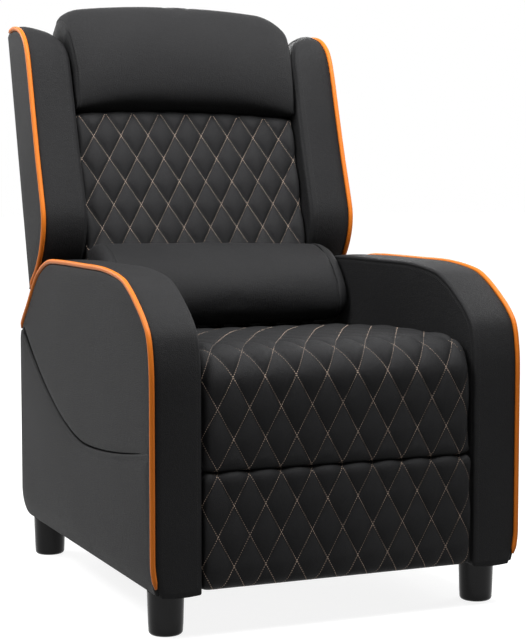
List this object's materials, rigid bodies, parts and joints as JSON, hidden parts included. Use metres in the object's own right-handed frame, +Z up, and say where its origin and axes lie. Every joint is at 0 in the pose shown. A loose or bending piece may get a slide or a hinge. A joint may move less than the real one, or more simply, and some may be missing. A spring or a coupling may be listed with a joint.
{
  "type": "gaming recliner",
  "caption": "Push-back recliner armchair with quilted seat and back, piped arms and wings, side pockets and a linked footrest.",
  "frame": {"origin": "on the floor, under the middle of the chair's outline", "axes": "+Z up, -Y the way the sitter faces, +X to the right as seen from the front"},
  "size_m": [0.6656, 0.8645, 1.0676],
  "materials": {
    "black_leather": "satin fine grain",
    "quilted_leather": "satin, diamond stitched",
    "orange_piping": "satin",
    "black_plastic": "satin moulded",
    "black_steel": "powder coated",
    "spring_steel": "zinc plated",
    "plywood": "raw",
    "black_webbing": "woven"
  },
  "bodies": {
    "base": {"arm_cover_left": "black_leather", "arm_cover_right": "black_leather", "arm_frame_left": "plywood", "arm_frame_right": "plywood", "arm_piping_left": "orange_piping", "arm_piping_right": "orange_piping", "side_pocket_left": "black_leather", "side_pocket_right": "black_leather", "leg_front_left": "black_plastic", "leg_front_right": "black_plastic", "leg_rear_left": "black_plastic", "leg_rear_right": "black_plastic", "seat_rail_left": "plywood", "seat_rail_right": "plywood", "side_plate_left": "black_steel", "side_plate_right": "black_steel", "front_rail": "plywood", "rear_rail": "plywood", "rear_apron": "black_leather", "seat_cushion": "quilted_leather", "seat_spring_1": "spring_steel", "seat_spring_2": "spring_steel", "seat_spring_3": "spring_steel", "seat_spring_4": "spring_steel"},
    "back": {"back_bracket_left": "black_steel", "back_bracket_right": "black_steel", "back_upright_left": "plywood", "back_upright_right": "plywood", "wing_left": "black_leather", "wing_right": "black_leather", "wing_piping_left": "orange_piping", "wing_piping_right": "orange_piping", "back_lower_rail": "plywood", "back_upper_rail": "plywood", "back_webbing_1": "black_webbing", "back_webbing_2": "black_webbing", "rear_cover": "black_leather", "back_cushion": "quilted_leather", "head_pad": "black_leather", "lumbar_pillow": "black_leather"},
    "front_swing_arms": {"front_swing_arm_left": "black_steel", "front_swing_arm_right": "black_steel", "torque_tube": "black_steel"},
    "footrest": {"footrest_board": "plywood", "footrest_cushion": "quilted_leather", "footrest_bracket_left": "black_steel", "footrest_bracket_right": "black_steel"},
    "rear_swing_arm_left": {"rear_swing_arm_left": "black_steel"},
    "carry_link_left": {"carry_link_left": "black_steel"},
    "level_link_left": {"level_link_left": "black_steel"},
    "push_rod_left": {"push_rod_left": "black_steel"},
    "rear_swing_arm_right": {"rear_swing_arm_right": "black_steel"},
    "carry_link_right": {"carry_link_right": "black_steel"},
    "level_link_right": {"level_link_right": "black_steel"},
    "push_rod_right": {"push_rod_right": "black_steel"}
  },
  "joints": [
    {"name": "back_recline", "type": "hinge", "parent": "base", "child": "back", "pos_m": [0, 0.22, 0.33], "axis": [-1, 0, 0], "range_deg": [0, 50]},
    {"name": "front_swing", "type": "hinge", "parent": "base", "child": "front_swing_arms", "pos_m": [0, -0.21, 0.278], "axis": [-1, 0, 0], "range_deg": [0, 90]},
    {"name": "rear_swing_left", "type": "hinge", "parent": "base", "child": "rear_swing_arm_left", "pos_m": [0, -0.15, 0.278], "axis": [-1, 0, 0], "range_deg": [0, 90]},
    {"name": "carry_hinge_left", "type": "hinge", "parent": "front_swing_arms", "child": "carry_link_left", "pos_m": [0, -0.124, 0.095], "axis": [1, 0, 0], "range_deg": [0, 90]},
    {"name": "level_hinge_left", "type": "hinge", "parent": "front_swing_arms", "child": "level_link_left", "pos_m": [0, -0.1465, 0.134], "axis": [1, 0, 0], "range_deg": [0, 90]},
    {"name": "rear_swing_right", "type": "hinge", "parent": "base", "child": "rear_swing_arm_right", "pos_m": [0, -0.15, 0.278], "axis": [-1, 0, 0], "range_deg": [0, 90]},
    {"name": "carry_hinge_right", "type": "hinge", "parent": "front_swing_arms", "child": "carry_link_right", "pos_m": [0, -0.124, 0.095], "axis": [1, 0, 0], "range_deg": [0, 90]},
    {"name": "level_hinge_right", "type": "hinge", "parent": "front_swing_arms", "child": "level_link_right", "pos_m": [0, -0.1465, 0.134], "axis": [1, 0, 0], "range_deg": [0, 90]},
    {"name": "rod_hinge_left", "type": "hinge", "parent": "back", "child": "push_rod_left", "pos_m": [0, 0.24368, 0.24162], "axis": [1, 0, 0], "range_deg": [0, 50]},
    {"name": "rod_hinge_right", "type": "hinge", "parent": "back", "child": "push_rod_right", "pos_m": [0, 0.24368, 0.24162], "axis": [1, 0, 0], "range_deg": [0, 50]},
    {"name": "footrest_hinge", "type": "hinge", "parent": "carry_link_left", "child": "footrest", "pos_m": [0, -0.325, 0.213], "axis": [-1, 0, 0], "range_deg": [0, 90]}
  ],
  "couplings": [
    {"joint": "front_swing", "follows": "back_recline", "ratio": 1.8},
    {"joint": "rear_swing_left", "follows": "back_recline", "ratio": 1.8},
    {"joint": "carry_hinge_left", "follows": "back_recline", "ratio": 1.8},
    {"joint": "level_hinge_left", "follows": "back_recline", "ratio": 1.8},
    {"joint": "rear_swing_right", "follows": "back_recline", "ratio": 1.8},
    {"joint": "carry_hinge_right", "follows": "back_recline", "ratio": 1.8},
    {"joint": "level_hinge_right", "follows": "back_recline", "ratio": 1.8},
    {"joint": "rod_hinge_left", "follows": "back_recline", "ratio": 0.95678},
    {"joint": "rod_hinge_right", "follows": "back_recline", "ratio": 0.95678},
    {"joint": "footrest_hinge", "follows": "back_recline", "ratio": 1.8}
  ]
}
